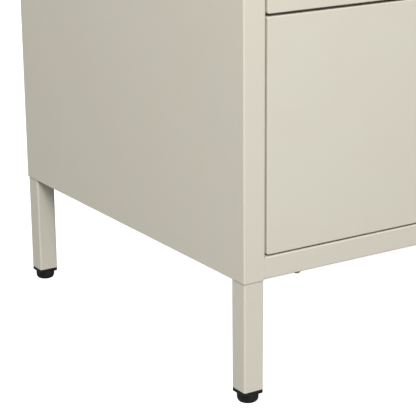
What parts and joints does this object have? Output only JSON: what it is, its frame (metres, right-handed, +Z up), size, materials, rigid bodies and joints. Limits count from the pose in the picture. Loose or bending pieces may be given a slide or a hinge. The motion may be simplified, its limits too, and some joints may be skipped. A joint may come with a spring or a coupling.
{
  "type": "lateral filing cabinet",
  "caption": "Wide sheet-steel filing cabinet with flush drawer fronts, on square-tube legs with black feet, cream powder coat.",
  "frame": {"origin": "on the floor, at the centre of the footprint of the closed cabinet, handles and back screws included", "axes": "+X to the right seen from the front, +Y towards the back, +Z up"},
  "size_m": [0.9, 0.548, 0.712],
  "materials": {
    "cream_paint": "satin cream powder coat, very fine texture",
    "black_plastic": "moulded, satin",
    "zinc_steel": "bright zinc plate",
    "screw_steel": "zinc plate",
    "bronze_screw": "bronze-coloured plate",
    "lock_chrome": "polished",
    "lock_nickel": "fine turned nickel plate"
  },
  "bodies": {
    "cabinet": {"back_panel": "cream_paint", "back_screws": "screw_steel", "bottom_rail": "cream_paint", "floor_pan": "cream_paint", "floor_screws": "bronze_screw", "glide_front_left": "black_plastic", "glide_front_right": "black_plastic", "glide_rear_left": "black_plastic", "glide_rear_right": "black_plastic", "leg_bolts": "screw_steel", "leg_cap_front_left": "black_plastic", "leg_cap_front_right": "black_plastic", "leg_cap_rear_left": "black_plastic", "leg_cap_rear_right": "black_plastic", "leg_front_left": "cream_paint", "leg_front_right": "cream_paint", "leg_rear_left": "cream_paint", "leg_rear_right": "cream_paint", "lock_barrel": "lock_chrome", "lock_rivets": "zinc_steel", "runner_cabinet_lower_left": "zinc_steel", "runner_cabinet_lower_right": "zinc_steel", "runner_cabinet_upper_left": "zinc_steel", "runner_cabinet_upper_right": "zinc_steel", "runner_support_lower_left": "cream_paint", "runner_support_lower_right": "cream_paint", "runner_support_upper_left": "cream_paint", "runner_support_upper_right": "cream_paint", "side_panel_left": "cream_paint", "side_panel_right": "cream_paint", "top_panel": "cream_paint", "top_rail": "cream_paint"},
    "drawer_lower": {"file_rails_lower": "zinc_steel", "front_liner_lower": "cream_paint", "front_skin_lower": "cream_paint", "handle_lower": "cream_paint", "handle_screws_lower": "screw_steel", "lock_stud_lower": "zinc_steel", "runner_drawer_lower_left": "zinc_steel", "runner_drawer_lower_right": "zinc_steel", "tray_floor_lower": "cream_paint", "tray_lower": "cream_paint"},
    "drawer_upper": {"file_rails_upper": "zinc_steel", "front_liner_upper": "cream_paint", "front_skin_upper": "cream_paint", "handle_screws_upper": "screw_steel", "handle_upper": "cream_paint", "lock_stud_upper": "zinc_steel", "runner_drawer_upper_left": "zinc_steel", "runner_drawer_upper_right": "zinc_steel", "tray_floor_upper": "cream_paint", "tray_upper": "cream_paint"},
    "lock_plug": {"lock_cam": "zinc_steel", "lock_plug": "lock_nickel", "lock_screw": "zinc_steel"},
    "lock_bar": {"lock_bar": "zinc_steel"},
    "runner_middle_lower_left": {"runner_middle_lower_left": "zinc_steel"},
    "runner_middle_lower_right": {"runner_middle_lower_right": "zinc_steel"},
    "runner_middle_upper_left": {"runner_middle_upper_left": "zinc_steel"},
    "runner_middle_upper_right": {"runner_middle_upper_right": "zinc_steel"}
  },
  "joints": [
    {"name": "drawer_lower_slide", "type": "slide", "parent": "cabinet", "child": "drawer_lower", "axis": [0, -1, 0], "range_m": [0, 0.42]},
    {"name": "runner_middle_lower_left_slide", "type": "slide", "parent": "cabinet", "child": "runner_middle_lower_left", "axis": [0, -1, 0], "range_m": [0, 0.21]},
    {"name": "runner_middle_lower_right_slide", "type": "slide", "parent": "cabinet", "child": "runner_middle_lower_right", "axis": [0, -1, 0], "range_m": [0, 0.21]},
    {"name": "drawer_upper_slide", "type": "slide", "parent": "cabinet", "child": "drawer_upper", "axis": [0, -1, 0], "range_m": [0, 0.42]},
    {"name": "runner_middle_upper_left_slide", "type": "slide", "parent": "cabinet", "child": "runner_middle_upper_left", "axis": [0, -1, 0], "range_m": [0, 0.21]},
    {"name": "runner_middle_upper_right_slide", "type": "slide", "parent": "cabinet", "child": "runner_middle_upper_right", "axis": [0, -1, 0], "range_m": [0, 0.21]},
    {"name": "lock_turn", "type": "hinge", "parent": "cabinet", "child": "lock_plug", "pos_m": [0.408, -0.248, 0.699], "axis": [0, -1, 0], "range_deg": [0, 90]},
    {"name": "lock_bar_lift", "type": "slide", "parent": "cabinet", "child": "lock_bar", "axis": [0, 0, 1], "range_m": [0, 0.008]}
  ],
  "couplings": [
    {"joint": "runner_middle_lower_left_slide", "follows": "drawer_lower_slide", "ratio": 0.5},
    {"joint": "runner_middle_lower_right_slide", "follows": "drawer_lower_slide", "ratio": 0.5},
    {"joint": "runner_middle_upper_left_slide", "follows": "drawer_upper_slide", "ratio": 0.5},
    {"joint": "runner_middle_upper_right_slide", "follows": "drawer_upper_slide", "ratio": 0.5},
    {"joint": "lock_turn", "follows": "lock_bar_lift", "rad_per_m": 196.35}
  ]
}
